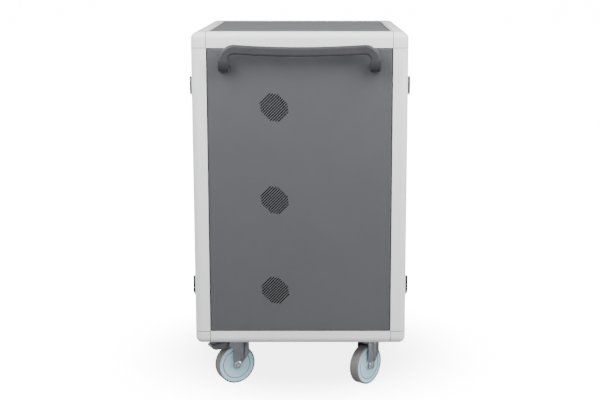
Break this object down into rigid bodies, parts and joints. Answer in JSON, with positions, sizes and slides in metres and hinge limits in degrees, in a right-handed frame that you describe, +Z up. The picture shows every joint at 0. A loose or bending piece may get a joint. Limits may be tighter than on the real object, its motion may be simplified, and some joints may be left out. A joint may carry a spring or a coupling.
{
  "type": "laptop charging cart",
  "caption": "Wheeled steel cabinet with rounded light frame, dark panels, double doors front and rear, laptop bays on shelves, power strips, side fans, push handles and swivel castors.",
  "frame": {"origin": "on the floor under the middle of the body", "axes": "+Z up, +X to the right seen from the front doors, +Y from the front doors to the rear doors"},
  "size_m": [0.88, 0.6816, 1.115],
  "materials": {
    "frame_paint": "light grey powder coat, fine satin",
    "panel_paint": "graphite powder coat, fine satin",
    "inner_paint": "mid grey powder coat",
    "black_plastic": "black moulded plastic, fine grain",
    "handle_black": "black satin moulding",
    "hardware_black": "black satin coat",
    "zinc": "bright zinc plating on pressed steel",
    "hub_plastic": "light blue-grey moulded plastic",
    "tread_rubber": "grey non-marking rubber",
    "pedal_plastic": "dark grey moulded plastic, satin"
  },
  "bodies": {
    "frame": {"post_front_left": "frame_paint", "post_front_right": "frame_paint", "post_rear_left": "frame_paint", "post_rear_right": "frame_paint", "top_rails": "frame_paint", "bottom_rails": "frame_paint", "top_corner_blocks": "frame_paint", "bottom_corner_blocks": "frame_paint", "top_panel": "panel_paint", "base_tray": "inner_paint", "side_panel_right": "panel_paint", "side_panel_left": "panel_paint", "liner_right": "inner_paint", "liner_left": "inner_paint", "shelf_lower": "inner_paint", "shelf_middle": "inner_paint", "shelf_upper": "inner_paint", "dividers_lower": "black_plastic", "dividers_middle": "black_plastic", "dividers_upper": "black_plastic", "partitions": "inner_paint", "power_strip_lower": "black_plastic", "power_strip_middle": "black_plastic", "power_strip_upper": "black_plastic", "fan_housings": "black_plastic", "push_handles": "handle_black", "handle_bolts": "zinc", "mains_gland": "black_plastic", "hinge_post_leaves": "hardware_black", "castor_plates": "zinc", "castor_bolts": "zinc"},
    "door_front_left": {"door_front_left": "panel_paint", "hinge_leaves_front_left": "hardware_black"},
    "door_front_right": {"door_front_right": "panel_paint", "hinge_leaves_front_right": "hardware_black", "lock_plate_front": "hardware_black"},
    "door_rear_left": {"door_rear_left": "panel_paint", "hinge_leaves_rear_left": "hardware_black"},
    "door_rear_right": {"door_rear_right": "panel_paint", "hinge_leaves_rear_right": "hardware_black", "lock_plate_rear": "hardware_black"},
    "lock_front": {"lock_knob_front": "hardware_black"},
    "lock_rear": {"lock_knob_rear": "hardware_black"},
    "fan_lower": {"fan_rotor_lower": "black_plastic"},
    "fan_middle": {"fan_rotor_middle": "black_plastic"},
    "fan_upper": {"fan_rotor_upper": "black_plastic"},
    "castor_front_left": {"fork_front_left": "zinc"},
    "wheel_front_left": {"hub_front_left": "hub_plastic", "tread_front_left": "tread_rubber"},
    "castor_front_right": {"fork_front_right": "zinc"},
    "wheel_front_right": {"hub_front_right": "hub_plastic", "tread_front_right": "tread_rubber"},
    "castor_rear_left": {"fork_rear_left": "zinc"},
    "wheel_rear_left": {"hub_rear_left": "hub_plastic", "tread_rear_left": "tread_rubber"},
    "castor_rear_right": {"fork_rear_right": "zinc"},
    "wheel_rear_right": {"hub_rear_right": "hub_plastic", "tread_rear_right": "tread_rubber"},
    "pedal_left": {"brake_pedal_left": "pedal_plastic"},
    "pedal_right": {"brake_pedal_right": "pedal_plastic"}
  },
  "joints": [
    {"name": "door_front_left_hinge", "type": "hinge", "parent": "frame", "child": "door_front_left", "pos_m": [-0.34275, -0.3296, 0.6425], "axis": [0, 0, -1], "range_deg": [0, 180]},
    {"name": "door_front_right_hinge", "type": "hinge", "parent": "frame", "child": "door_front_right", "pos_m": [0.34275, -0.3296, 0.6425], "axis": [0, 0, 1], "range_deg": [0, 180]},
    {"name": "door_rear_left_hinge", "type": "hinge", "parent": "frame", "child": "door_rear_left", "pos_m": [-0.34275, 0.3296, 0.6425], "axis": [0, 0, 1], "range_deg": [0, 180]},
    {"name": "door_rear_right_hinge", "type": "hinge", "parent": "frame", "child": "door_rear_right", "pos_m": [0.34275, 0.3296, 0.6425], "axis": [0, 0, -1], "range_deg": [0, 180]},
    {"name": "lock_front_turn", "type": "hinge", "parent": "door_front_right", "child": "lock_front", "pos_m": [0.0355, -0.3235, 0.6305], "axis": [0, -1, 0], "range_deg": [0, 90]},
    {"name": "lock_rear_turn", "type": "hinge", "parent": "door_rear_right", "child": "lock_rear", "pos_m": [0.0355, 0.3235, 0.6305], "axis": [0, -1, 0], "range_deg": [0, 90]},
    {"name": "fan_lower_spin", "type": "hinge", "parent": "frame", "child": "fan_lower", "pos_m": [0.375, -0.077, 0.324], "axis": [1, 0, 0], "continuous": true},
    {"name": "fan_middle_spin", "type": "hinge", "parent": "frame", "child": "fan_middle", "pos_m": [0.375, -0.077, 0.607], "axis": [1, 0, 0], "continuous": true},
    {"name": "fan_upper_spin", "type": "hinge", "parent": "frame", "child": "fan_upper", "pos_m": [0.375, -0.077, 0.89], "axis": [1, 0, 0], "continuous": true},
    {"name": "castor_front_left_swivel", "type": "hinge", "parent": "frame", "child": "castor_front_left", "pos_m": [-0.29, -0.181, 0.15], "axis": [0, 0, 1], "continuous": true},
    {"name": "wheel_front_left_roll", "type": "hinge", "parent": "castor_front_left", "child": "wheel_front_left", "pos_m": [-0.28335, -0.2123, 0.0625], "axis": [0.9781, 0.2079, 0], "continuous": true},
    {"name": "castor_front_right_swivel", "type": "hinge", "parent": "frame", "child": "castor_front_right", "pos_m": [0.29, -0.181, 0.15], "axis": [0, 0, 1], "continuous": true},
    {"name": "wheel_front_right_roll", "type": "hinge", "parent": "castor_front_right", "child": "wheel_front_right", "pos_m": [0.30403, -0.20976, 0.0625], "axis": [0.8988, 0.4384, 0], "continuous": true},
    {"name": "castor_rear_left_swivel", "type": "hinge", "parent": "frame", "child": "castor_rear_left", "pos_m": [-0.29, 0.226, 0.15], "axis": [0, 0, 1], "continuous": true},
    {"name": "wheel_rear_left_roll", "type": "hinge", "parent": "castor_rear_left", "child": "wheel_rear_left", "pos_m": [-0.2703, 0.20078, 0.0625], "axis": [0.788, 0.6157, 0], "continuous": true},
    {"name": "castor_rear_right_swivel", "type": "hinge", "parent": "frame", "child": "castor_rear_right", "pos_m": [0.29, 0.226, 0.15], "axis": [0, 0, 1], "continuous": true},
    {"name": "wheel_rear_right_roll", "type": "hinge", "parent": "castor_rear_right", "child": "wheel_rear_right", "pos_m": [0.31451, 0.20543, 0.0625], "axis": [0.6428, 0.766, 0], "continuous": true},
    {"name": "brake_pedal_left_press", "type": "hinge", "parent": "castor_front_left", "child": "pedal_left", "pos_m": [-0.27919, -0.23186, 0.131], "axis": [0.9781, 0.2079, 0], "range_deg": [0, 12], "stiffness_Nm_per_rad": 1, "springref_deg": -5.73},
    {"name": "brake_pedal_right_press", "type": "hinge", "parent": "castor_front_right", "child": "pedal_right", "pos_m": [0.31279, -0.22774, 0.131], "axis": [0.8988, 0.4384, 0], "range_deg": [0, 12], "stiffness_Nm_per_rad": 1, "springref_deg": -5.73}
  ]
}
